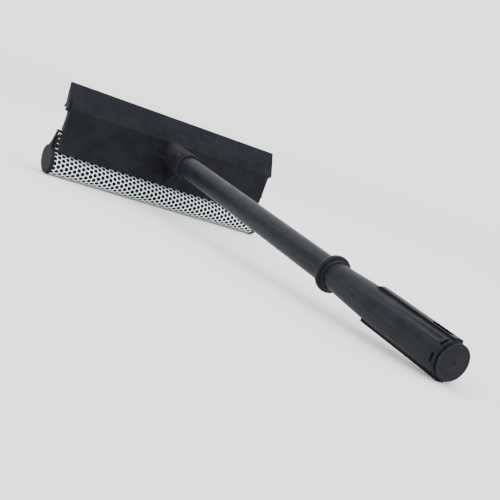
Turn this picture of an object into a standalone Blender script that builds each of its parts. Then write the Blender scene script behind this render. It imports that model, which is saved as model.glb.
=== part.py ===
"""Window washer: a squeegee blade and a netted sponge on one moulded head, with a long tube handle.

The tool is laid out along its handle: +X along the head, +Y from the grip to the head, +Z to the blade
side, with the middle of the guard ring at the centre. An empty then leans it on its end caps and grip.
"""

import math

import bmesh
import bpy
from mathutils import Matrix, Vector

MM = 0.001
GAP = 0.3 * MM

# Head, measured from the near face of its back plate
HEAD_Y = 340 * MM
BLADE_LENGTH = 254 * MM
HEAD_LENGTH = 247.2 * MM
PLATE_WALL = 2.4 * MM

# Blade: distances run down from its tip and across from its near face
BLADE_LEAN = math.radians(35)
BLADE_TIP = Vector((18.7, 36.9)) * MM
NEAR_LIP_TOP = 18.4 * MM
LIP_WALL = 1.6 * MM
FAR_LIP_TOP = 25.3 * MM
FAR_LIP_BASE = 26.7 * MM
CHANNEL_FLOOR = 29.9 * MM
CHANNEL_TOP = 10.0 * MM

# Screws that hold the rear clamp to the head
CLAMP_SCREW_X = (-61.8 * MM, 0, 61.8 * MM)
CLAMP_SCREW_Z = -5.2 * MM

# Sponge roll: an oval tipped back a little
ROLL_CENTRE = Vector((7.8, -44.5)) * MM
ROLL_LONG = 18.9 * MM
ROLL_SHORT = 12.8 * MM
ROLL_TURN = math.radians(18)
ROLL_LENGTH = 249.6 * MM
NECK_TOP = -12.6 * MM
NET_THICKNESS = 0.8 * MM
CORE_RADIUS = 4.0 * MM

# End caps
CAP_INNER_X = ROLL_LENGTH / 2 + GAP
CAP_THICKNESS = 3.3 * MM
CAP_ARM_THICKNESS = 1.8 * MM
CAP_OVERSIZE = 0.5 * MM

# Handle
TUBE_RADIUS = 11.2 * MM
TUBE_WALL = 1.6 * MM
SOCKET_SCREW_TURN = math.radians(148)
SOCKET_SCREW_Y = HEAD_Y - 35 * MM
GRIP_END_Y = -148.4 * MM
CAP_END_Y = -151.4 * MM
RIDGE_RADIUS = 15.6 * MM
RIDGE_SPREAD = math.radians(15)
RIDGE_REAR_Y = -147.2 * MM
FLUTE_TURNS = (40, 96, 152, 208, 264, 320)
POCKET_Y = (-146.2 * MM, -143.9 * MM)
HANG_SLOT_Y = (-141.5 * MM, -120.5 * MM)
HANG_SLOT_WIDTH = 6.4 * MM


def clear_scene():
    for thing in list(bpy.data.objects):
        bpy.data.objects.remove(thing, do_unlink=True)


def plastic(name, colour, roughness, metallic=0.0):
    material = bpy.data.materials.new(name)
    material.use_nodes = True
    shader = material.node_tree.nodes["Principled BSDF"]
    shader.inputs["Base Color"].default_value = (*colour, 1)
    shader.inputs["Roughness"].default_value = roughness
    shader.inputs["Metallic"].default_value = metallic
    return material


def add_object(name, mesh_builder, material, place=(0, 0, 0)):
    """Turns a bmesh into an object that hangs on the resting empty."""
    mesh = bpy.data.meshes.new(name)
    mesh_builder.normal_update()
    bmesh.ops.recalc_face_normals(mesh_builder, faces=mesh_builder.faces)
    mesh_builder.to_mesh(mesh)
    mesh_builder.free()
    mesh.materials.append(material)
    mesh.shade_smooth()
    mesh.set_sharp_from_angle(angle=math.radians(32))
    thing = bpy.data.objects.new(name, mesh)
    bpy.context.collection.objects.link(thing)
    thing.location = place
    thing.parent = rest
    return thing


def loft(sections, closed_ends=True):
    """A skin over a list of closed loops of points, each with the same number of points."""
    shape = bmesh.new()
    loops = [[shape.verts.new(point) for point in section] for section in sections]
    for first, second in zip(loops, loops[1:]):
        for i in range(len(first)):
            j = (i + 1) % len(first)
            shape.faces.new((first[i], first[j], second[j], second[i]))
    if closed_ends:
        shape.faces.new(loops[0])
        shape.faces.new(loops[-1])
    return shape


def prism(outline, start, end):
    """A closed (y, z) outline drawn out along X."""
    return loft([[(x, y, z) for y, z in outline] for x in (start, end)])


def turned(profile, steps):
    """A (y, radius) profile turned about the Y axis: an open one ends on the axis, any other is closed."""
    shape = bmesh.new()
    rings = []
    for y, radius in profile:
        if radius < 1e-9:
            rings.append([shape.verts.new((0, y, 0))] * steps)
            continue
        turns = [math.tau * k / steps for k in range(steps)]
        rings.append([shape.verts.new((radius * math.cos(a), y, radius * math.sin(a))) for a in turns])
    pairs = list(zip(rings, rings[1:]))
    if profile[0][1] > 1e-9:
        pairs.append((rings[-1], rings[0]))
    for first, second in pairs:
        for i in range(steps):
            j = (i + 1) % steps
            corners = dict.fromkeys((first[i], first[j], second[j], second[i]))
            shape.faces.new(corners)
    return shape


def rod(radius, length, steps, direction, start):
    """A solid round bar from a start point along a direction."""
    shape = bmesh.new()
    bmesh.ops.create_cone(
        shape, cap_ends=True, segments=steps, radius1=radius, radius2=radius, depth=length
    )
    bmesh.ops.translate(shape, verts=shape.verts, vec=(0, 0, length / 2))
    turn = Vector(direction).to_track_quat("Z", "Y").to_matrix().to_4x4()
    shape.transform(Matrix.Translation(start) @ turn)
    return shape


def join(*shapes):
    """Puts several bmeshes into the first one."""
    for other in shapes[1:]:
        mesh = bpy.data.meshes.new("joined")
        other.to_mesh(mesh)
        other.free()
        shapes[0].from_mesh(mesh)
        bpy.data.meshes.remove(mesh)
    return shapes[0]


def combine(target, operation, name, shape, place=None, solver="EXACT"):
    """A Boolean whose second solid stays in the scene as a hidden helper."""
    helper = add_object(name, shape, target.data.materials[0], place or target.location)
    helper.hide_render = True
    helper.display_type = "WIRE"
    modifier = target.modifiers.new(name, "BOOLEAN")
    modifier.operation = operation
    modifier.solver = solver
    modifier.object = helper


def blade_point(down, across):
    """A point of the blade's section, as (y, z) on the head."""
    along = Vector((math.sin(BLADE_LEAN), math.cos(BLADE_LEAN)))
    out = Vector((math.cos(BLADE_LEAN), -math.sin(BLADE_LEAN)))
    return tuple(BLADE_TIP - along * down + out * across)


def oval_arc(first, last, steps, growth):
    """Points (y, z) along the roll's oval between two angles in degrees, grown or shrunk evenly."""
    turn = Matrix.Rotation(ROLL_TURN, 2)
    points = []
    for k in range(steps + 1):
        angle = math.radians(first + (last - first) * k / steps)
        along = (ROLL_LONG + growth) * math.cos(angle)
        across = (ROLL_SHORT + growth) * math.sin(angle)
        points.append(tuple(ROLL_CENTRE + turn @ Vector((along, across))))
    return points


def sleeve_path(inset):
    """The path round the sponge, open at the top, drawn in by an inset."""
    near_top = (PLATE_WALL + GAP + inset, NECK_TOP)
    near_bend = (PLATE_WALL + GAP + inset, -21.2 * MM)
    far_top = (8.1 * MM - inset, NECK_TOP)
    return [near_top, near_bend, *oval_arc(98, 371.6, 44, -inset), far_top]


def crease_height(x):
    """The plate bends outward at a crease that rises to the socket."""
    reach = math.hypot(abs(x), 14 * MM) / (HEAD_LENGTH / 2)
    return -22.3 * MM + 8.6 * MM * max(0, 1 - reach)


def bend_height(x):
    """Below the crease the skirt turns down again along a shorter arch."""
    reach = min(1, math.hypot(abs(x), 10 * MM) / (66 * MM))
    return -31.2 * MM + 8.2 * MM * math.cos(reach * math.pi / 2)


def head_section(x):
    crease = crease_height(x)
    bend = bend_height(x)
    skirt = -5.0 * MM
    return [
        blade_point(NEAR_LIP_TOP, -GAP - LIP_WALL),
        blade_point(30.5 * MM, -GAP - LIP_WALL),
        (0, 11.9 * MM),
        (0, crease),
        (skirt, bend),
        (skirt - 0.3 * MM, -32.4 * MM),
        (skirt + 0.6 * MM, -33.5 * MM),
        (skirt + 1.7 * MM, -33.3 * MM),
        (skirt + 2.1 * MM, bend + 0.5 * MM),
        (PLATE_WALL, crease + 0.5 * MM),
        (PLATE_WALL, -11.4 * MM),
        (8.3 * MM, -11.4 * MM),
        (8.3 * MM, -9.2 * MM),
        (PLATE_WALL, -9.2 * MM),
        (PLATE_WALL, 8.0 * MM),
        blade_point(32.2 * MM, 10.1 * MM),
        blade_point(FAR_LIP_TOP, 10.1 * MM),
        blade_point(FAR_LIP_TOP, 5.9 * MM),
        blade_point(FAR_LIP_BASE, 5.9 * MM),
        blade_point(FAR_LIP_BASE, 7.9 * MM),
        blade_point(CHANNEL_FLOOR, 7.9 * MM),
        blade_point(CHANNEL_FLOOR, -GAP),
        blade_point(NEAR_LIP_TOP, -GAP),
    ]


def mark_stations(half, count):
    """Evenly spaced places along X, from one end of the head to the other."""
    return [-half + 2 * half * k / count for k in range(count + 1)]


def make_head_frame():
    half = HEAD_LENGTH / 2
    skin = loft([[(x, y, z) for y, z in head_section(x)] for x in mark_stations(half, 25)])
    head = add_object("head_frame", skin, dark_plastic, (0, HEAD_Y, 0))

    # Walls across the back of the channel: two ends and four ribs
    wall = [(1.2 * MM, 9.6 * MM), (1.2 * MM, -10.3 * MM), (8.2 * MM, -10.3 * MM), (8.2 * MM, -1.2 * MM)]
    wall += [blade_point(31.0 * MM, 9.9 * MM), blade_point(31.2 * MM, 1.5 * MM)]
    thick = 2.2 * MM
    places = [-half + 0.01 * MM, half - thick - 0.01 * MM]
    places += [side * x * MM - thick / 2 for side in (-1, 1) for x in (41.2, 82.4)]
    walls = join(*[prism(wall, x, x + thick) for x in places])
    combine(head, "UNION", "head_walls", walls)

    # Socket for the tube, with a rounded rim
    profile = [
        (1.1, 0), (1.1, 14.8), (-2.5, 14.4), (-14, 13.9), (-34, 13.8), (-38, 14.3), (-42.5, 14.3),
        (-44.8, 13.9), (-46, 12.9), (-46, 0),
    ]  # fmt: skip
    socket = turned([(y * MM, r * MM) for y, r in profile], 40)
    combine(head, "UNION", "head_socket", socket, solver="MANIFOLD")

    # Gussets: one on each side of the socket and one under it
    for side in (-1, 1):
        corners = [(11, 1), (22, 1), (22, -0.8), (20.6, -1.8), (13.2, -15), (11, -15)]
        levels = (-4.6 * MM, -1.4 * MM)
        web = loft([[(side * x * MM, y * MM, z) for x, y in corners] for z in levels])
        combine(head, "UNION", "head_side_gusset", web)
    under = [(0.8, -10), (-26, -10), (-26, -13.6), (-6.2, -29.5), (-3.6, -29.5), (0.8, -16)]
    under = [(y * MM, z * MM) for y, z in under]
    combine(head, "UNION", "head_lower_gusset", prism(under, -1.5 * MM, 1.5 * MM))

    # Screw bosses behind the plate
    for x in CLAMP_SCREW_X:
        boss = rod(3.5 * MM, 7.0 * MM, 20, (0, 1, 0), (x, 1.2 * MM, CLAMP_SCREW_Z))
        combine(head, "UNION", "clamp_boss", boss)
        pilot = rod(1.75 * MM, 8 * MM, 12, (0, 1, 0), (x, 3.2 * MM, CLAMP_SCREW_Z))
        combine(head, "DIFFERENCE", "clamp_pilot", pilot)

    for side in (-1, 1):
        combine(head, "DIFFERENCE", "plate_end_slope", end_slope(side * half, side))

    bore = rod(TUBE_RADIUS + GAP, 60 * MM, 48, (0, -1, 0), (0, -5.6 * MM, 0))
    combine(head, "DIFFERENCE", "socket_bore", bore)
    channel = [
        blade_point(CHANNEL_TOP, 5.9 * MM),
        blade_point(FAR_LIP_BASE, 5.9 * MM),
        blade_point(FAR_LIP_BASE, 7.9 * MM),
        blade_point(CHANNEL_FLOOR, 7.9 * MM),
        blade_point(CHANNEL_FLOOR, -GAP),
        blade_point(CHANNEL_TOP, -GAP),
    ]
    combine(head, "DIFFERENCE", "blade_channel", prism(channel, -half - MM, half + MM), solver="MANIFOLD")
    combine(head, "DIFFERENCE", "socket_screw_hole", screw_hole(), (0, 0, 0), "MANIFOLD")
    combine(head, "DIFFERENCE", "socket_screw_seat", screw_seat(), (0, 0, 0), "MANIFOLD")


def end_slope(x, side):
    """A wedge that slopes the plate's near edge at one end, wide at the top and nothing at the bottom."""
    top, bottom = 11.7, -11.0
    spots = [
        (-4.3, 0, top), (0, 1.9, top), (0, 0, bottom), (1, 2.4, top),
        (1, -1, bottom), (-4.5, -1, top), (1, -1, top),
    ]  # fmt: skip
    wedge = bmesh.new()
    for out, y, z in spots:
        wedge.verts.new((x + side * out * MM, y * MM, z * MM))
    bmesh.ops.convex_hull(wedge, input=wedge.verts)
    return wedge


def make_rubber_blade():
    """A lip that thickens to a shoulder with one barb, over a root with a bead."""
    outline = [
        (0, 0), (29.6, 0), (29.6, 7.6), (27.1, 7.6), (27.0, 5.6), (24.9, 5.6), (24.2, 6.9), (23.3, 12.2),
        (22.5, 12.6), (21.8, 10.2), (20.4, 7.4), (15, 6.2), (8, 4.3), (3, 2.6), (0, 1.6),
    ]  # fmt: skip
    section = [blade_point(down * MM, across * MM) for down, across in outline]
    strip = prism(section, -BLADE_LENGTH / 2, BLADE_LENGTH / 2)
    add_object("rubber_blade", strip, rubber, (0, HEAD_Y, 0))


def make_rear_clamp():
    """A strip behind the shelf that pinches the net's edges and backs the sponge."""
    outline = [
        (8.6, -1.4), (8.6, -12.6), (19.7, -28.6), (21.0, -29.8), (22.5, -29.4), (22.3, -27.9),
        (11.1, -12.0), (11.1, -1.4),
    ]  # fmt: skip
    half = HEAD_LENGTH / 2 - 2.8 * MM
    strip = prism([(y * MM, z * MM) for y, z in outline], -half, half)
    clamp = add_object("rear_clamp", strip, dark_plastic, (0, HEAD_Y, 0))
    names = ("left", "middle", "right")
    for side, x in zip(names, CLAMP_SCREW_X):
        hole = rod(1.8 * MM, 10 * MM, 12, (0, 1, 0), (x, 5 * MM, CLAMP_SCREW_Z))
        combine(clamp, "DIFFERENCE", "clamp_hole_" + side, hole)
        screw = pan_screw(7.0 * MM, 3.0 * MM, 1.45 * MM)
        screw.transform(Vector((0, -1, 0)).to_track_quat("Z", "Y").to_matrix().to_4x4())
        place = (x, HEAD_Y + 11.4 * MM, CLAMP_SCREW_Z)
        add_object("rear_clamp_screw_" + side, screw, steel, place)


def pan_screw(shank, head_radius, shank_radius):
    """A round-headed screw: its head below the origin, its shank along +Z, with a cross recess."""
    crown = 1.7 * MM
    profile = [
        (shank, 0), (shank, 0.4 * MM), (shank - 1.4 * MM, shank_radius), (0, shank_radius),
        (0, head_radius), (-0.8 * MM, head_radius), (-crown, head_radius * 0.62), (-crown, 0),
    ]  # fmt: skip
    shape = turned(profile, 16)
    shape.transform(Matrix.Rotation(math.radians(90), 4, "X"))
    return shape


def make_sponge():
    """Foam roll whose neck fills the space between the plate and the clamp."""
    path = sleeve_path(NET_THICKNESS + GAP)
    neck = -14.8 * MM
    outline = [(y, min(z, neck)) for y, z in path]
    half = ROLL_LENGTH / 2
    foam = add_object("sponge", prism(outline, -half, half), foam_grey, (0, HEAD_Y, 0))
    y, z = ROLL_CENTRE
    bore = rod(CORE_RADIUS + GAP, 2 * half + 10 * MM, 20, (1, 0, 0), (-half - 5 * MM, y, z))
    combine(foam, "DIFFERENCE", "sponge_bore", bore)


def make_core_tube():
    """The stiff tube through the sponge that joins the two end caps."""
    half = ROLL_LENGTH / 2
    outer, inner = CORE_RADIUS, 2.8 * MM
    core = turned([(-half, outer), (-half, inner), (half, inner), (half, outer)], 20)
    core.transform(Matrix.Rotation(math.radians(-90), 4, "Z"))
    y, z = ROLL_CENTRE
    add_object("sponge_core_tube", core, dark_plastic, (0, HEAD_Y + y, z))


def make_net_sleeve():
    outline = sleeve_path(0) + sleeve_path(NET_THICKNESS)[::-1]
    half = ROLL_LENGTH / 2
    add_object("net_sleeve", prism(outline, -half, half), white_net, (0, HEAD_Y, 0))


def cap_outline():
    """The roll's oval, a little larger, with an arm that leans up to the shelf."""
    arm = [
        (19.6, -32.0), (15.4, -27.0), (10.4, -15.0), (9.6, -12.2), (4.0, -11.9), (4.0, -14.2),
        (6.6, -15.4), (9.8, -24.5), (9.8, -28.6), (9.0, -30.2),
    ]  # fmt: skip
    return oval_arc(76, 388, 30, CAP_OVERSIZE) + [(y * MM, z * MM) for y, z in arm]


def make_end_cap(name, side):
    """Flat cap with a crowned disc, a stub in the core tube and a tongue under the shelf."""
    plate = prism(cap_outline(), side * CAP_INNER_X, side * (CAP_INNER_X + CAP_ARM_THICKNESS))
    cap = add_object(name, plate, dark_plastic, (0, HEAD_Y, 0))
    sections = []
    for out, shrink in ((0.4, 0.02), (2.1, 0.02), (2.7, 0.25), (3.1, 0.85), (CAP_THICKNESS / MM, 1.9)):
        ring = oval_arc(0, 351, 39, CAP_OVERSIZE - shrink * MM)
        sections.append([(side * (CAP_INNER_X + out * MM), y, z) for y, z in ring])
    combine(cap, "UNION", name + "_disc", loft(sections))
    y, z = ROLL_CENTRE
    stub = rod(2.5 * MM, 16 * MM, 16, (-side, 0, 0), (side * (CAP_INNER_X + 1 * MM), y, z))
    combine(cap, "UNION", name + "_stub", stub)
    tongue = [(3.9, -11.9), (6.9, -11.9), (6.9, -14.1), (3.9, -14.1)]
    tongue = [(y * MM, z * MM) for y, z in tongue]
    inner, outer = side * (CAP_INNER_X - 10 * MM), side * (CAP_INNER_X + 1 * MM)
    combine(cap, "UNION", name + "_tongue", prism(tongue, inner, outer))


def socket_screw_line(distance):
    """The screw's outward direction and the point on its line at a distance from the tube's axis."""
    outward = Vector((math.cos(SOCKET_SCREW_TURN), 0, math.sin(SOCKET_SCREW_TURN)))
    return outward, Vector((0, SOCKET_SCREW_Y, 0)) + outward * distance


def screw_hole():
    return rod(1.75 * MM, 14 * MM, 12, *socket_screw_line(7 * MM))


def screw_seat():
    return rod(3.2 * MM, 6 * MM, 20, *socket_screw_line(12.7 * MM))


def make_handle_tube():
    front = HEAD_Y - 6.2 * MM
    back = GAP / 2
    inner = TUBE_RADIUS - TUBE_WALL
    profile = [(back, TUBE_RADIUS), (back, inner), (front, inner), (front, TUBE_RADIUS)]
    tube = add_object("handle_tube", turned(profile, 48), grip_plastic)
    combine(tube, "DIFFERENCE", "tube_screw_hole", screw_hole(), (0, 0, 0))


def make_socket_screw():
    outward, place = socket_screw_line(13.0 * MM)
    screw = pan_screw(5.4 * MM, 2.7 * MM, 1.4 * MM)
    screw.transform((-outward).to_track_quat("Z", "Y").to_matrix().to_4x4())
    add_object("socket_screw", screw, steel, place)


def make_guard_ring():
    """A stop for the hand over the joint of tube and grip, with a bead on the grip side."""
    profile = [
        (3.6, 11.5), (3.6, 12.3), (3.1, 12.9), (2.9, 14.4), (2.2, 15.3), (0.9, 15.65), (-0.4, 15.65),
        (-1.6, 15.2), (-2.2, 14.4), (-2.3, 13.0), (-2.8, 12.6), (-3.8, 12.7), (-4.6, 12.4), (-4.9, 11.9),
        (-4.9, 11.6), (0, 11.6),
    ]  # fmt: skip
    ring = turned([(y * MM, r * MM) for y, r in profile], 48)
    add_object("guard_ring", ring, dark_plastic)


def sector(stations, middle, spread, floor):
    """A block round the handle's axis: (y, radius) stations over an arc, down to a floor radius."""
    steps = 8
    sections = []
    for y, outer in stations:
        ring = []
        for radius, way in ((outer, 1), (floor, -1)):
            for k in range(steps + 1):
                angle = middle + spread * way * (2 * k / steps - 1)
                ring.append((radius * math.sin(angle), y, radius * math.cos(angle)))
        sections.append(ring)
    return loft(sections)


def grip_ridge(side):
    """One long raised ridge of the grip: the upper one starts with a ramp, the lower one with a step."""
    front, ramp = (-56.4 * MM, 4.2 * MM) if side > 0 else (-55.0 * MM, 0.8 * MM)
    foot = 13.3 * MM
    stations = [
        (front, foot),
        (front - ramp, RIDGE_RADIUS),
        (RIDGE_REAR_Y, RIDGE_RADIUS),
        (RIDGE_REAR_Y - 1.0 * MM, foot),
    ]
    return sector(stations, 0 if side > 0 else math.pi, RIDGE_SPREAD, 12.4 * MM)


def flute(angle):
    """A shallow round-ended groove that deepens towards the rear end."""
    radius = 5.0 * MM
    front, rear = Vector((0, -68 * MM, 18.7 * MM)), Vector((0, -139.6 * MM, 17.9 * MM))
    run = rear - front
    steps, rings = 14, 4
    profile = []
    for k in range(rings + 1):
        swing = math.pi / 2 * k / rings
        profile.append((-radius * math.cos(swing), radius * math.sin(swing)))
    for k in range(rings + 1):
        swing = math.pi / 2 * k / rings
        profile.append((run.length + radius * math.sin(swing), radius * math.cos(swing)))
    shape = turned(profile, steps)
    shape.transform(Matrix.Rotation(math.radians(90), 4, "X"))
    turn = run.to_track_quat("Z", "Y").to_matrix().to_4x4()
    lay = Matrix.Translation(front) @ turn
    shape.transform(Matrix.Rotation(angle, 4, "Y") @ lay)
    return shape


def make_grip_body():
    """Hollow moulded grip: a cone, raised panels, flutes, a hanging slot and a spigot for the tube."""
    profile = [
        (28, 9.3), (-GAP / 2 / MM, 9.3), (-GAP / 2 / MM, 11.25), (-5, 11.3), (-56, 13.4), (-138, 14.0),
        (-146, 14.0), (-147.5, 13.8), (GRIP_END_Y / MM, 12.9), (GRIP_END_Y / MM, 10.9), (-72, 10.9),
        (-50, 7.6), (28, 7.6),
    ]  # fmt: skip
    grip = add_object("grip_body", turned([(y * MM, r * MM) for y, r in profile], 48), grip_plastic)
    for degrees in FLUTE_TURNS:
        combine(grip, "DIFFERENCE", "grip_flute", flute(math.radians(degrees)))
        pocket = [(y, 16 * MM) for y in POCKET_Y]
        pocket = sector(pocket, math.radians(degrees), math.radians(14), 12.3 * MM)
        combine(grip, "DIFFERENCE", "grip_pocket", pocket)
    for side in (-1, 1):
        combine(grip, "UNION", "grip_ridge_top" if side > 0 else "grip_ridge_bottom", grip_ridge(side))
    back, front = HANG_SLOT_Y
    half = HANG_SLOT_WIDTH / 2
    outline = []
    for centre, start in ((front - half, 0), (back + half, math.pi)):
        for k in range(9):
            angle = start + math.pi * k / 8
            outline.append((half * math.cos(angle), centre + half * math.sin(angle)))
    slot = loft([[(x, y, z) for x, y in outline] for z in (-20 * MM, 20 * MM)])
    combine(grip, "DIFFERENCE", "hang_slot", slot)


def make_grip_end_cap():
    """A push-in plug with a narrow neck behind its rim and a plain dimple in its face."""
    face = CAP_END_Y / MM
    seat = (GRIP_END_Y - GAP) / MM
    profile = [
        (-143.4, 0), (-143.4, 9.8), (-144.2, 10.5), (seat, 10.5), (seat, 11.9), (face + 1.4, 11.9),
        (face + 1.2, 13.2), (face + 0.8, 13.65), (face + 0.3, 13.55), (face, 13.1), (face, 11.9),
        (face + 0.4, 11.3), (face + 0.4, 2.4), (face + 0.9, 1.6), (face + 0.9, 0),
    ]  # fmt: skip
    plug = turned([(y * MM, r * MM) for y, r in profile], 48)
    add_object("grip_end_cap", plug, dark_plastic)


def lean_to_rest():
    """Tips the tool about X until the end caps and the grip's lower ridge stand on one plane."""
    cap_long, cap_short = ROLL_LONG + CAP_OVERSIZE, ROLL_SHORT + CAP_OVERSIZE
    run = HEAD_Y + ROLL_CENTRE.x - RIDGE_REAR_Y
    rise = ROLL_CENTRE.y + RIDGE_RADIUS
    lean = 0
    for _ in range(5):
        turn = ROLL_TURN + lean
        drop = math.hypot(cap_long * math.sin(turn), cap_short * math.cos(turn))
        lean = math.atan2(-rise, run) + math.asin(drop / math.hypot(run, rise))
    rest.rotation_euler = (lean, 0, 0)
    bpy.context.view_layer.update()
    corners = []
    for thing in bpy.context.scene.objects:
        if thing.type == "MESH" and not thing.hide_render:
            corners += [thing.matrix_world @ vertex.co for vertex in thing.data.vertices]
    lowest = min(corner.z for corner in corners)
    back = min(corner.y for corner in corners)
    front = max(corner.y for corner in corners)
    rest.location = (0, -(back + front) / 2, -lowest)
    bpy.context.view_layer.update()
    print("lean in degrees", math.degrees(lean))


clear_scene()
rest = bpy.data.objects.new("rest", None)
bpy.context.collection.objects.link(rest)

dark_plastic = plastic("dark plastic", (0.045, 0.052, 0.056), 0.5)
grip_plastic = plastic("handle plastic", (0.060, 0.070, 0.074), 0.45)
rubber = plastic("rubber", (0.050, 0.055, 0.064), 0.62)
foam_grey = plastic("foam", (0.020, 0.022, 0.026), 0.95)
white_net = plastic("net", (0.82, 0.83, 0.84), 0.5)
steel = plastic("steel", (0.42, 0.43, 0.44), 0.35, 1.0)

make_head_frame()
make_rubber_blade()
make_rear_clamp()
make_sponge()
make_core_tube()
make_net_sleeve()
make_end_cap("end_cap_left", -1)
make_end_cap("end_cap_right", 1)
make_handle_tube()
make_socket_screw()
make_guard_ring()
make_grip_body()
make_grip_end_cap()
lean_to_rest()
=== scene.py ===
# %% [markdown]
# # Windscreen squeegee washer
# The finished solids are loaded first, and the box they fill is kept. Everything that follows either gives
# those solids a finish or lays a more detailed piece over one of them, so no place has to be guessed.

# %% Frame
import math

import bpy
from mathutils import Matrix, Vector


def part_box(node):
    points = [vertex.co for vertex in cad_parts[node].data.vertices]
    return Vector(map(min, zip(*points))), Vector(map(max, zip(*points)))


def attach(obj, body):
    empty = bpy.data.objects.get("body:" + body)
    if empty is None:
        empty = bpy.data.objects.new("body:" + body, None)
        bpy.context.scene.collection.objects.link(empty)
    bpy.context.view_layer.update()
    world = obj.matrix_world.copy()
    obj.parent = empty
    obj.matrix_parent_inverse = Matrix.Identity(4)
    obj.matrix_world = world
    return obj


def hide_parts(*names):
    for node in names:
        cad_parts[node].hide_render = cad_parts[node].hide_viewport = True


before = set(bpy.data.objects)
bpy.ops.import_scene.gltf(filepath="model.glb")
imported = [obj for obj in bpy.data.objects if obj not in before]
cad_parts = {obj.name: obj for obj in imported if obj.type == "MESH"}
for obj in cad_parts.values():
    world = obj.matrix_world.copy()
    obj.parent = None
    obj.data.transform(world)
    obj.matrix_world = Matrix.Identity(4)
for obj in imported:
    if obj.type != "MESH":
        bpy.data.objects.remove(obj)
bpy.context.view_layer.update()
MM = 0.001

# %% [markdown]
# ## The washer's own axes
# The tool lies leaning on its end caps and the rear of its grip. Everything on it was laid out along the
# handle, so the new pieces are drawn in the handle's own axes and then leaned the same way. The lean could
# be typed in as an angle. It is read from the frame instead, from the guard ring to the tube's middle, so a
# change in the part's height carries over.

# %% Handle axes
TUBE_MIDDLE = 166.97 * MM
HEAD_Y = 340 * MM


def middle(node):
    low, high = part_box(node)
    return (low + high) / 2


run = (middle("handle_tube") - middle("guard_ring")).normalized()
lean = math.atan2(run.z, run.y)
handle_origin = middle("handle_tube") - run * TUBE_MIDDLE
handle_axes = Matrix.Translation(handle_origin) @ Matrix.Rotation(lean, 4, "X")
head_axes = handle_axes @ Matrix.Translation((0, HEAD_Y, 0))
print("lean", round(math.degrees(lean), 3), "origin", [round(v, 4) for v in handle_origin])

# %% [markdown]
# ## Helpers for pieces
# Every piece starts as a primitive and is worked in edit mode. Two small helpers keep that short: one
# deselects and makes a single object active, the other applies its modifiers in order. A third lays the
# finished mesh in the row frame, so that each piece sits at the origin untransformed.

# %% Helpers for pieces
def only(thing):
    bpy.ops.object.select_all(action="DESELECT")
    thing.select_set(True)
    bpy.context.view_layer.objects.active = thing


def start(name):
    """The primitive that was just added, renamed and alone in the selection."""
    thing = bpy.context.active_object
    thing.name = thing.data.name = name
    only(thing)
    return thing


def apply_modifiers(thing):
    only(thing)
    for modifier in list(thing.modifiers):
        bpy.ops.object.modifier_apply(modifier=modifier.name)


def settle(thing, placing):
    thing.data.transform(placing)
    thing.data.update()
    only(thing)
    bpy.ops.object.mode_set(mode="EDIT")
    bpy.ops.mesh.select_all(action="SELECT")
    bpy.ops.mesh.normals_make_consistent(inside=False)
    bpy.ops.object.mode_set(mode="OBJECT")


def report(thing):
    faces = sum(len(p.vertices) - 2 for p in thing.data.polygons)
    print(thing.name, faces, "triangles", [round(v * 1000, 1) for v in thing.dimensions], "mm")


# %% [markdown]
# ## Where the net runs
# On the real roll the net goes down behind the back plate, round the foam and up again to the clamp. Its
# path is an oval tipped back by 18 degrees with two straight runs up to the clamp. The path is measured by
# its length, because the net keeps its pitch round it: that is what lets a flat net be wrapped without
# stretching.

# %% Net path
ROLL_CENTRE = Vector((7.8, -44.5)) * MM
ROLL_LONG, ROLL_SHORT = 18.9 * MM, 12.8 * MM
ROLL_TURN = math.radians(18)
NECK_TOP = -12.6 * MM
NEAR_NECK, FAR_NECK = 2.7 * MM, 8.1 * MM
NEAR_BEND = -21.2 * MM
FIRST_TURN, LAST_TURN, TURN_STEPS = 98, 371.6, 120
NET_LENGTH = 249.2 * MM


def roll_path(inset):
    points = [Vector((NEAR_NECK + inset, NECK_TOP)), Vector((NEAR_NECK + inset, NEAR_BEND))]
    for k in range(TURN_STEPS + 1):
        angle = math.radians(FIRST_TURN + (LAST_TURN - FIRST_TURN) * k / TURN_STEPS)
        along, across = (ROLL_LONG - inset) * math.cos(angle), (ROLL_SHORT - inset) * math.sin(angle)
        points.append(ROLL_CENTRE + Matrix.Rotation(ROLL_TURN, 2) @ Vector((along, across)))
    points.append(Vector((FAR_NECK - inset, NECK_TOP)))
    return points


def measure(points):
    """The distance along a path to each of its points."""
    reached = [0.0]
    for a, b in zip(points, points[1:]):
        reached.append(reached[-1] + (b - a).length)
    return reached


def spot_on(points, reached, distance):
    """The point at a distance along the path."""
    distance = min(max(distance, 0), reached[-1])
    k = max(i for i in range(len(points) - 1) if reached[i] <= distance)
    step = points[k + 1] - points[k]
    return points[k] + step * ((distance - reached[k]) / step.length)


NET_SURFACE = 0.15 * MM
net_path = roll_path(NET_SURFACE)
net_reach = measure(net_path)
print("net path", round(net_reach[-1] * 1000, 1), "mm")

# %% [markdown]
# ## Net
# The net is one moulded sheet of soft white plastic with round holes packed in rows round the roll. It could
# be a texture with transparent holes, but the holes show the foam behind them at every angle and their edges
# catch light, so each is a real hole. One hexagonal cell is modelled: a ring of twelve sides, pulled out to
# a hexagon, with a round inner edge. Array modifiers repeat it, its edges are merged, and the flat net is
# then wrapped along the path and thickened.

# %% Net cell
PITCH = 5.2 * MM
HOLE_RADIUS = 2.22 * MM
CELL_CORNER = PITCH / math.sqrt(3)
COLUMN_STEP = CELL_CORNER * 1.5
CELL_SIDES = 12

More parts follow.
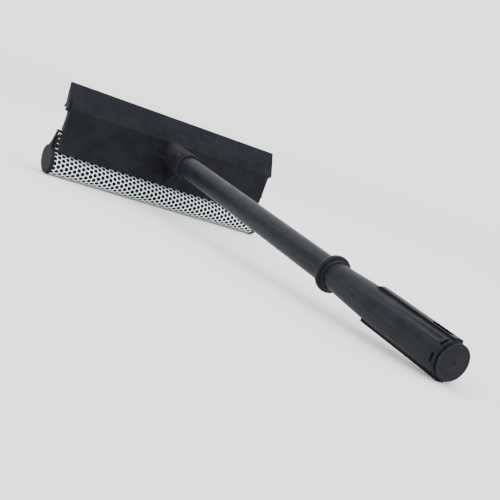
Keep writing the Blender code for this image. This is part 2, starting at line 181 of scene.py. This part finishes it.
bpy.ops.object.select_all(action="DESELECT")
bpy.ops.mesh.primitive_circle_add(vertices=CELL_SIDES, radius=CELL_CORNER, fill_type="NOTHING")
net = start("net_mesh")
bpy.ops.object.mode_set(mode="EDIT")
bpy.ops.mesh.select_mode(type="VERT")
bpy.ops.mesh.select_all(action="DESELECT")
bpy.ops.object.mode_set(mode="OBJECT")
for vertex in net.data.vertices:
    turn = round(math.atan2(vertex.co.y, vertex.co.x) / (math.tau / CELL_SIDES))
    vertex.select = turn % 2 != 0
bpy.ops.object.mode_set(mode="EDIT")
bpy.ops.transform.resize(value=(math.cos(math.pi / 6),) * 3, center_override=(0, 0, 0))
bpy.ops.mesh.select_all(action="SELECT")
bpy.ops.mesh.extrude_edges_move()
bpy.ops.transform.tosphere(value=1)
bpy.ops.object.mode_set(mode="OBJECT")
ring = [v for v in net.data.vertices if v.select]
reached = sum(v.co.length for v in ring) / len(ring)
bpy.ops.object.mode_set(mode="EDIT")
bpy.ops.transform.resize(value=(HOLE_RADIUS / reached,) * 3, center_override=(0, 0, 0))
bpy.ops.object.mode_set(mode="OBJECT")
report(net)

# %% [markdown]
# The columns stand half a pitch apart in height, so a pair of columns is made first and then repeated both
# ways. The ends are cut straight, as the real net is cut from a roll of netting, and the cut goes through
# the holes it meets.

# %% Net sheet
MERGE_WITHIN = 0.02 * MM
NET_TRIM = 0.1 * MM

rows = int(net_reach[-1] / PITCH) + 2
pairs = int(NET_LENGTH / (2 * COLUMN_STEP)) + 2
for name, count, shift in (
    ("pair", 2, (COLUMN_STEP, PITCH / 2, 0)),
    ("columns", pairs, (2 * COLUMN_STEP, 0, 0)),
    ("rows", rows, (0, PITCH, 0)),
):
    array = net.modifiers.new(name, "ARRAY")
    array.count = count
    array.use_relative_offset = False
    array.use_constant_offset = True
    array.constant_offset_displace = shift
apply_modifiers(net)
width = (2 * pairs - 1) * COLUMN_STEP
net.data.transform(Matrix.Translation((-width / 2, -PITCH / 2, 0)))
bpy.ops.object.mode_set(mode="EDIT")
bpy.ops.mesh.select_all(action="SELECT")
bpy.ops.mesh.remove_doubles(threshold=MERGE_WITHIN)
for at, axis, above in (
    (-NET_LENGTH / 2, (1, 0, 0), False),
    (NET_LENGTH / 2, (1, 0, 0), True),
    (NET_TRIM, (0, 1, 0), False),
    (net_reach[-1] - NET_TRIM, (0, 1, 0), True),
):
    bpy.ops.mesh.select_all(action="SELECT")
    place = tuple(at * part for part in axis)
    bpy.ops.mesh.bisect(plane_co=place, plane_no=axis, clear_inner=not above, clear_outer=above)
bpy.ops.object.mode_set(mode="OBJECT")
report(net)

# %% [markdown]
# Wrapping moves each point of the flat net to the same distance along the path. A Curve modifier could do
# it too, but it scales with the curve's own parameter and bunches the holes where the oval is tight, so the
# points are laid by length. The small swell between the holes is left to the material.

# %% Net wrapped
NET_THICKNESS = 0.32 * MM
SMOOTH_BELOW = math.radians(35)

for vertex in net.data.vertices:
    spot = spot_on(net_path, net_reach, vertex.co.y)
    vertex.co = Vector((vertex.co.x, spot.x, spot.y))
settle(net, Matrix.Identity(4))
solid = net.modifiers.new("thickness", "SOLIDIFY")
solid.thickness = NET_THICKNESS
solid.offset = -1
apply_modifiers(net)
settle(net, head_axes)
bpy.ops.object.shade_smooth_by_angle(angle=SMOOTH_BELOW)
report(net)

# %% [markdown]
# ## Foam
# The roll is open-cell foam. A smooth solid behind the holes would look like rubber, so the foam gets real
# unevenness. The plain sponge solid is copied, rebuilt in small even cells with a voxel Remesh, and pushed
# in and out by a cloud noise about as coarse as the foam's cells. Sculpting or particles would cost far more
# faces for what shows through holes 4 mm wide.

# %% Foam
FOAM_CELL = 1.25 * MM
FOAM_SWELL = 0.5 * MM
FOAM_NOISE = 2.2 * MM
FOAM_REST_LEVEL = 0.25
LOOSE_MERGE = 0.01 * MM

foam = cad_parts["sponge"].copy()
foam.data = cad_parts["sponge"].data.copy()
bpy.context.scene.collection.objects.link(foam)
foam.name = foam.data.name = "foam_roll"
foam.parent = None
for key in list(foam.keys()):
    del foam[key]
only(foam)
bpy.ops.object.mode_set(mode="EDIT")
bpy.ops.mesh.select_all(action="SELECT")
bpy.ops.mesh.remove_doubles(threshold=LOOSE_MERGE)
bpy.ops.object.mode_set(mode="OBJECT")
remesh = foam.modifiers.new("cells", "REMESH")
remesh.mode = "VOXEL"
remesh.voxel_size = FOAM_CELL
noise = bpy.data.textures.new("foam cells", "CLOUDS")
noise.noise_scale = FOAM_NOISE
push = foam.modifiers.new("cells pushed", "DISPLACE")
push.texture = noise
push.strength = FOAM_SWELL
push.mid_level = FOAM_REST_LEVEL
apply_modifiers(foam)
settle(foam, Matrix.Identity(4))
foam.data.materials.clear()
bpy.ops.object.shade_smooth()
report(foam)

# %% [markdown]
# ## Shared effects
# Three effects are used by several finishes: a fine moulding grain, worn lighter edges, and a little dust on
# what faces up. Each is a node group that gives out only values or normals, so every material decides for
# itself what to do with them. The helpers here make a group, a node and a smooth step, because the same few
# lines would otherwise be written out for each of them.

# %% Node group helpers
def new_group(name, inputs, outputs):
    """A node group with float inputs (name, default) and outputs (name, kind)."""
    group = bpy.data.node_groups.new(name, "ShaderNodeTree")
    for label, value in inputs:
        socket = group.interface.new_socket(label, in_out="INPUT", socket_type="NodeSocketFloat")
        socket.default_value = value
    for label, kind in outputs:
        group.interface.new_socket(label, in_out="OUTPUT", socket_type=kind)
    return group, group.nodes.new("NodeGroupInput"), group.nodes.new("NodeGroupOutput")


def node(tree, kind, settings=(), **inputs):
    """A node with its settings, and its inputs given as values or as sockets to link from."""
    made = tree.nodes.new(kind)
    for key, value in dict(settings).items():
        setattr(made, key, value)
    for key, value in inputs.items():
        socket = made.inputs[int(key[1:])] if key[1:].isdigit() else made.inputs[key.replace("_", " ")]
        if isinstance(value, bpy.types.NodeSocket):
            tree.links.new(value, socket)
        else:
            socket.default_value = value
    return made


def ramp(tree, factor, low, high):
    """A smooth step from 0 at low to 1 at high."""
    made = node(tree, "ShaderNodeMapRange", {"interpolation_type": "SMOOTHSTEP"}, Value=factor)
    made.inputs["From Min"].default_value = low
    made.inputs["From Max"].default_value = high
    return made.outputs["Result"]


# %% [markdown]
# ## Moulding grain
# A mould is spark-eroded or sanded, and the plastic takes its fine grain. The Bevel node first rounds the
# sharp modelled edges in the shading, as the mould's own corners are rounded, and a Bump on top of it gives
# the grain. A slow noise comes out beside it, for finishes that vary in tone or gloss. Modelling the grain
# would take millions of faces.

# %% Moulding grain
grain, grain_in, grain_out = new_group(
    "moulding grain",
    [("Scale", 900), ("Depth", 0.25), ("Edge Radius", 0.0004)],
    [("Normal", "NodeSocketVector"), ("Speckle", "NodeSocketFloat")],
)
place = node(grain, "ShaderNodeTexCoord").outputs["Object"]
fine = node(grain, "ShaderNodeTexNoise", Vector=place, Scale=grain_in.outputs["Scale"], Detail=3.0)
blotch = node(grain, "ShaderNodeTexNoise", Vector=place, Scale=60.0, Detail=4.0)
soft_edge = node(grain, "ShaderNodeBevel", {"samples": 4}, Radius=grain_in.outputs["Edge Radius"])
bump = node(
    grain, "ShaderNodeBump", Strength=grain_in.outputs["Depth"], Distance=0.0002,
    Height=fine.outputs["Fac"], Normal=soft_edge.outputs["Normal"],
)
grain.links.new(bump.outputs["Normal"], grain_out.inputs["Normal"])
grain.links.new(blotch.outputs["Fac"], grain_out.inputs["Speckle"])

print("group", grain.name, len(grain.nodes), "nodes")

# %% [markdown]
# ## Edge wear
# Handling polishes a moulding's corners lighter. The wider Bevel normal differs from the true normal only
# near an edge, so their dot product marks the edges, and a noise breaks the mark into patches. Pointiness
# would do it too, but it depends on how finely the mesh is divided.

# %% Edge wear
wear, wear_in, wear_out = new_group(
    "edge wear", [("Radius", 0.0007), ("Amount", 0.6)], [("Mask", "NodeSocketFloat")]
)
rounded = node(wear, "ShaderNodeBevel", {"samples": 4}, Radius=wear_in.outputs["Radius"])
true_normal = node(wear, "ShaderNodeNewGeometry").outputs["Normal"]
along = node(
    wear, "ShaderNodeVectorMath", {"operation": "DOT_PRODUCT"},
    _0=rounded.outputs["Normal"], _1=true_normal,
)
edge = ramp(wear, along.outputs["Value"], 0.995, 0.90)
where = node(wear, "ShaderNodeTexCoord").outputs["Object"]
patchy = node(wear, "ShaderNodeTexNoise", Vector=where, Scale=140.0, Detail=5.0)
patches = ramp(wear, patchy.outputs["Fac"], 0.35, 0.65)
spotted = node(wear, "ShaderNodeMath", {"operation": "MULTIPLY"}, _0=edge, _1=patches)
scaled = node(
    wear, "ShaderNodeMath", {"operation": "MULTIPLY"},
    _0=spotted.outputs["Value"], _1=wear_in.outputs["Amount"],
)
wear.links.new(scaled.outputs["Value"], wear_out.inputs["Mask"])

print("group", wear.name, len(wear.nodes), "nodes")

# %% [markdown]
# ## Dust
# Dust settles on what faces up, in clouds. The upward part of the normal and a soft noise are multiplied,
# and each finish says how much of it shows.

# %% Dust
dust, dust_in, dust_out = new_group("dust", [("Amount", 0.15)], [("Mask", "NodeSocketFloat")])
facing = node(dust, "ShaderNodeSeparateXYZ", Vector=node(dust, "ShaderNodeNewGeometry").outputs["Normal"])
upward = ramp(dust, facing.outputs["Z"], 0.2, 1.0)
spread = node(dust, "ShaderNodeTexCoord").outputs["Object"]
cloudy = node(dust, "ShaderNodeTexNoise", Vector=spread, Scale=35.0, Detail=6.0, Roughness=0.65)
settled = node(
    dust, "ShaderNodeMath", {"operation": "MULTIPLY"},
    _0=upward, _1=ramp(dust, cloudy.outputs["Fac"], 0.4, 0.7),
)
thin = node(
    dust, "ShaderNodeMath", {"operation": "MULTIPLY"},
    _0=settled.outputs["Value"], _1=dust_in.outputs["Amount"],
)
dust.links.new(thin.outputs["Value"], dust_out.inputs["Mask"])
print("group", dust.name, len(dust.nodes), "nodes")

# %% [markdown]
# ## Finishes
# The real tool is moulded in dark, cool grey plastics that differ only a little: the head is the darkest
# and dullest, the tube and grip are a lighter satin, and the guard ring is smoother. Each finish mixes two
# near colours by a slow noise, so that no face is one flat tone, then adds worn edges and a trace of dust.

# %% Finish helpers
EDGE_TONE = (0.055, 0.060, 0.066)
DUST_TONE = (0.11, 0.11, 0.11)


def new_finish(name):
    material = bpy.data.materials.new(name)
    material.use_nodes = True
    return material, material.node_tree, material.node_tree.nodes["Principled BSDF"]


def use_group(tree, group, **inputs):
    made = tree.nodes.new("ShaderNodeGroup")
    made.node_tree = group
    for key, value in inputs.items():
        made.inputs[key.replace("_", " ")].default_value = value
    return made


def mix(tree, factor, a, b):
    """Colour a where the factor is 0 and b where it is 1."""
    made = tree.nodes.new("ShaderNodeMix")
    made.data_type = "RGBA"
    for socket, value in ((made.inputs["Factor"], factor), (made.inputs[6], a), (made.inputs[7], b)):
        if isinstance(value, bpy.types.NodeSocket):
            tree.links.new(value, socket)
        else:
            socket.default_value = (*value, 1) if isinstance(value, tuple) else value
    return made.outputs[2]


def plastic(name, dark, light, roughness, grain_depth, edge_amount, sheen):
    """A moulded plastic finish; the base colour socket is returned so that a finish can add to it."""
    material, tree, shader = new_finish(name)
    surface = use_group(tree, grain, Depth=grain_depth)
    tone = mix(tree, ramp(tree, surface.outputs["Speckle"], 0.35, 0.65), dark, light)
    tone = mix(tree, use_group(tree, wear, Amount=edge_amount).outputs["Mask"], tone, EDGE_TONE)
    tone = mix(tree, use_group(tree, dust, Amount=0.12).outputs["Mask"], tone, DUST_TONE)
    tree.links.new(tone, shader.inputs["Base Color"])
    tree.links.new(surface.outputs["Normal"], shader.inputs["Normal"])
    shader.inputs["Specular IOR Level"].default_value = sheen
    rough = node(tree, "ShaderNodeMapRange", Value=surface.outputs["Speckle"])
    rough.inputs["To Min"].default_value = roughness - 0.06
    rough.inputs["To Max"].default_value = roughness + 0.06
    tree.links.new(rough.outputs["Result"], shader.inputs["Roughness"])
    return material, tree, shader, tone


# %% [markdown]
# ## Head and ring plastic
# The head is coarse-grained and dull, so its roughness is high and its grain deep. The guard ring and the
# grip's end cap are smoother, so they get a finer grain and a lower roughness from the same function.

# %% Head and ring plastic
head_plastic, *_ = plastic(
    "head plastic", dark=(0.0098, 0.0106, 0.0134), light=(0.0138, 0.0147, 0.0182),
    roughness=0.58, grain_depth=0.30, edge_amount=0.5, sheen=0.035,
)
ring_plastic, *_ = plastic(
    "ring plastic", dark=(0.0078, 0.0083, 0.0112), light=(0.0115, 0.0122, 0.0160),
    roughness=0.38, grain_depth=0.15, edge_amount=0.5, sheen=0.07,
)

# %% [markdown]
# The tube and grip carry faint lengthwise streaks from drawing and from the mould, and the two raised
# ridges of the grip are a softer, darker, rubbery layer. The ridges stand out further from the handle's
# axis than anything else on the grip, so the darker layer is placed by distance from that axis. It could be
# a separate piece, but the frame holds grip and ridges as one moulding.

# %% Handle plastic
RIDGE_FROM, RIDGE_FULL = 14.15 * MM, 14.5 * MM
RIDGE_TONE = (0.005, 0.005, 0.006)
STREAK_TONE = (0.016, 0.0188, 0.0238)


def handle_finish(name, with_ridge):
    material, tree, shader, tone = plastic(
        name, dark=(0.0074, 0.0088, 0.0117), light=(0.0110, 0.0128, 0.0168),
        roughness=0.42, grain_depth=0.18, edge_amount=0.35, sheen=0.06,
    )
    place = node(tree, "ShaderNodeTexCoord").outputs["Object"]
    straight = node(
        tree, "ShaderNodeVectorMath", {"operation": "SUBTRACT"}, _0=place, _1=tuple(handle_origin)
    )
    level = node(
        tree, "ShaderNodeVectorRotate", {"rotation_type": "X_AXIS"}, Vector=straight.outputs["Vector"]
    )
    level.inputs["Angle"].default_value = -lean
    stretched = node(
        tree, "ShaderNodeVectorMath", {"operation": "MULTIPLY"},
        _0=level.outputs["Vector"], _1=(1.0, 0.03, 1.0),
    )
    streak = node(tree, "ShaderNodeTexNoise", Vector=stretched.outputs["Vector"], Scale=420.0, Detail=2.0)
    tone = mix(tree, ramp(tree, streak.outputs["Fac"], 0.45, 0.75), tone, STREAK_TONE)
    if with_ridge:
        around = node(
            tree, "ShaderNodeVectorMath", {"operation": "MULTIPLY"},
            _0=level.outputs["Vector"], _1=(1.0, 0.0, 1.0),
        )
        radius = node(tree, "ShaderNodeVectorMath", {"operation": "LENGTH"}, _0=around.outputs["Vector"])
        on_ridge = ramp(tree, radius.outputs["Value"], RIDGE_FROM, RIDGE_FULL)
        tone = mix(tree, on_ridge, tone, RIDGE_TONE)
    tree.links.new(tone, shader.inputs["Base Color"])
    return material


tube_plastic = handle_finish("tube plastic", False)
grip_plastic = handle_finish("grip plastic", True)
print("plastics", [m.name for m in (head_plastic, ring_plastic, tube_plastic, grip_plastic)])

# %% [markdown]
# ## Rubber
# The blade is extruded rubber: dull, slightly blue, with fine lines along its length from the die and a pale
# bloom in patches. Stretching a noise along X gives the lines, and a slow noise gives the bloom.

# %% Blade rubber
RUBBER_DARK, RUBBER_BLOOM = (0.008, 0.009, 0.013), (0.013, 0.015, 0.020)
RUBBER_LINE = (0.019, 0.022, 0.028)
RUBBER_SHEEN = 0.08

blade_rubber, tree, shader = new_finish("blade rubber")
place = node(tree, "ShaderNodeTexCoord").outputs["Object"]
drawn = node(tree, "ShaderNodeVectorMath", {"operation": "MULTIPLY"}, _0=place, _1=(0.02, 1.0, 1.0))
lines = node(tree, "ShaderNodeTexNoise", Vector=drawn.outputs["Vector"], Scale=900.0, Detail=3.0)
bloom = node(tree, "ShaderNodeTexNoise", Vector=place, Scale=28.0, Detail=6.0, Roughness=0.7)
tone = mix(tree, ramp(tree, bloom.outputs["Fac"], 0.42, 0.72), RUBBER_DARK, RUBBER_BLOOM)
tone = mix(tree, ramp(tree, lines.outputs["Fac"], 0.55, 0.80), tone, RUBBER_LINE)
tree.links.new(tone, shader.inputs["Base Color"])
shader.inputs["Roughness"].default_value = 0.62
shader.inputs["Specular IOR Level"].default_value = RUBBER_SHEEN
soft_edge = node(tree, "ShaderNodeBevel", {"samples": 4}, Radius=0.0003)
bump = node(
    tree, "ShaderNodeBump", Strength=0.3, Distance=0.0002,
    Height=lines.outputs["Fac"], Normal=soft_edge.outputs["Normal"],
)
tree.links.new(bump.outputs["Normal"], shader.inputs["Normal"])
print("rubber", len(tree.nodes), "nodes")

# %% [markdown]
# ## Foam finish
# Foam is almost black. A Voronoi pattern about as fine as the cells gives both the tone and the bump: the
# mouths of the cells are painted darkest, as painted shade inside the pores, and the walls between keep the
# foam's own colour. It has next to no gloss, as the light is lost inside it.

# %% Foam finish
# The darker of these two colours is painted shade for the cell mouths; the other is the foam's own colour.
FOAM_PORE_SHADE, FOAM_WALL = (0.002, 0.002, 0.003), (0.007, 0.008, 0.010)

foam_finish, tree, shader = new_finish("foam")
place = node(tree, "ShaderNodeTexCoord").outputs["Object"]
cells = node(tree, "ShaderNodeTexVoronoi", Vector=place, Scale=1400.0)
# Painted shade: the mouths of the cells are darkened as if shade fell inside the pores.
pore_shade = ramp(tree, cells.outputs["Distance"], 0.15, 0.55)
tree.links.new(mix(tree, pore_shade, FOAM_PORE_SHADE, FOAM_WALL), shader.inputs["Base Color"])
shader.inputs["Roughness"].default_value = 0.95
shader.inputs["Specular IOR Level"].default_value = 0.2
bump = node(tree, "ShaderNodeBump", Strength=0.8, Distance=0.0004, Height=cells.outputs["Distance"])
tree.links.new(bump.outputs["Normal"], shader.inputs["Normal"])

print("foam", len(tree.nodes), "nodes")

# %% [markdown]
# ## Net finish
# The net is soft white plastic that lets a little light through, so it has some subsurface scattering. Its
# threads are slightly rough, and use leaves it a little grey in patches.

# %% Net finish
NET_CLEAN, NET_SOILED = (0.88, 0.89, 0.90), (0.80, 0.81, 0.83)

net_finish, tree, shader = new_finish("net")
place = node(tree, "ShaderNodeTexCoord").outputs["Object"]
weave = node(tree, "ShaderNodeTexNoise", Vector=place, Scale=1600.0, Detail=3.0)
soil = node(tree, "ShaderNodeTexNoise", Vector=place, Scale=40.0, Detail=5.0)
tone = mix(tree, ramp(tree, soil.outputs["Fac"], 0.45, 0.80), NET_CLEAN, NET_SOILED)
tree.links.new(tone, shader.inputs["Base Color"])
shader.inputs["Roughness"].default_value = 0.5
shader.inputs["Subsurface Weight"].default_value = 0.25
shader.inputs["Subsurface Scale"].default_value = 0.002
bump = node(tree, "ShaderNodeBump", Strength=0.35, Distance=0.00015, Height=weave.outputs["Fac"])
tree.links.new(bump.outputs["Normal"], shader.inputs["Normal"])

print("net", len(tree.nodes), "nodes")

# %% [markdown]
# ## Steel finish
# The screws are blackened steel: metallic, dark, and cloudy where the coating is uneven.

# %% Steel finish
STEEL_DARK, STEEL_LIGHT = (0.020, 0.020, 0.022), (0.045, 0.045, 0.047)

steel_finish, tree, shader = new_finish("blackened steel")
place = node(tree, "ShaderNodeTexCoord").outputs["Object"]
cloud = node(tree, "ShaderNodeTexNoise", Vector=place, Scale=500.0, Detail=4.0)
tone = mix(tree, cloud.outputs["Fac"], STEEL_DARK, STEEL_LIGHT)
tree.links.new(tone, shader.inputs["Base Color"])
shader.inputs["Metallic"].default_value = 1.0
shader.inputs["Roughness"].default_value = 0.38

print("steel", len(tree.nodes), "nodes")

# %% [markdown]
# ## Finishes on the pieces
# The solids that keep their shape are given their finish by node name. The net and the foam stand for their
# plain solids, which are hidden, and ride on the washer's body.

# %% Finishes on the pieces
FINISHES = {
    head_plastic: ("head_frame", "rear_clamp", "end_cap_left", "end_cap_right", "sponge_core_tube"),
    ring_plastic: ("guard_ring", "grip_end_cap"),
    tube_plastic: ("handle_tube",),
    grip_plastic: ("grip_body",),
    blade_rubber: ("rubber_blade",),
    steel_finish: (
        "socket_screw", "rear_clamp_screw_left", "rear_clamp_screw_middle", "rear_clamp_screw_right",
    ),
}
for finish, names in FINISHES.items():
    for name in names:
        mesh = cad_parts[name].data
        mesh.materials.clear()
        mesh.materials.append(finish)
foam.data.materials.append(foam_finish)
net.data.materials.append(net_finish)

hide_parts("net_sleeve")
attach(net, "washer")
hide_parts("sponge")
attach(foam, "washer")
print("finished", sum(len(names) for names in FINISHES.values()), "solids, a net and a foam roll")

# %% [markdown]
# ## Floor and light
# The tool lies on a pale floor, lit softly from above, so that the tube and the leaning blade catch the
# light and the upright back plate stays dark. The floor is wide and nearly as bright as the surroundings, so
# that the horizon hardly shows. Most light comes from the surroundings, because black plastic shows small
# lamps as hard streaks.

# %% Floor and light
FLOOR_SIDE = 60
FLOOR_TONE = (0.95, 0.95, 0.95, 1)
SURROUNDINGS = 2.2

bpy.ops.object.select_all(action="DESELECT")
bpy.ops.mesh.primitive_plane_add(size=FLOOR_SIDE)
floor = start("floor")
floor_finish, tree, shader = new_finish("floor")
shader.inputs["Base Color"].default_value = FLOOR_TONE
shader.inputs["Roughness"].default_value = 0.9
floor.data.materials.append(floor_finish)

world = bpy.data.worlds.new("white surroundings")
bpy.context.scene.world = world
world.use_nodes = True
world.node_tree.nodes["Background"].inputs["Color"].default_value = (1, 1, 1, 1)
world.node_tree.nodes["Background"].inputs["Strength"].default_value = SURROUNDINGS


def soft_light(name, spot, target, size, power):
    light = bpy.data.lights.new(name, "AREA")
    light.shape = "DISK"
    light.size = size
    light.energy = power
    lamp = bpy.data.objects.new(name, light)
    bpy.context.scene.collection.objects.link(lamp)
    lamp.location = spot
    lamp.rotation_euler = (Vector(target) - Vector(spot)).to_track_quat("-Z", "Y").to_euler()


soft_light("overhead", spot=(0.25, 0.35, 1.1), target=(0, 0.05, 0), size=0.8, power=3.5)
soft_light("side", spot=(-0.9, -0.5, 0.6), target=(0, 0, 0.03), size=0.7, power=0.8)
print("surroundings", SURROUNDINGS, "and two soft lights")

# %% [markdown]
# ## Camera
# The camera is low, beyond the grip's end, and rolled, so that the handle runs down to the right. It was
# worked out in the handle's own axes, as an eye point, a direction and which way is right, and is leaned
# with them. Euler angles would give the same view, but say less about where the eye stands.

# %% Camera
LENS, SENSOR = 66.9, 36
EYE = Vector((-436.4, -561.6, 127.1)) * MM
LOOKING = Vector((0.5273, 0.8288, -0.187)).normalized()
RIGHTWARD = Vector((0.8168, -0.4339, 0.3801))

lens = bpy.data.cameras.new("camera")
lens.lens = LENS
lens.sensor_width = SENSOR
camera = bpy.data.objects.new("camera", lens)
bpy.context.scene.collection.objects.link(camera)
across = (RIGHTWARD - LOOKING * RIGHTWARD.dot(LOOKING)).normalized()
upward = across.cross(LOOKING)
turned = Matrix((across, upward, -LOOKING)).transposed().to_4x4()
camera.matrix_world = handle_axes @ Matrix.Translation(EYE) @ turned
bpy.context.scene.camera = camera
print("camera at", [round(v, 3) for v in camera.matrix_world.translation])
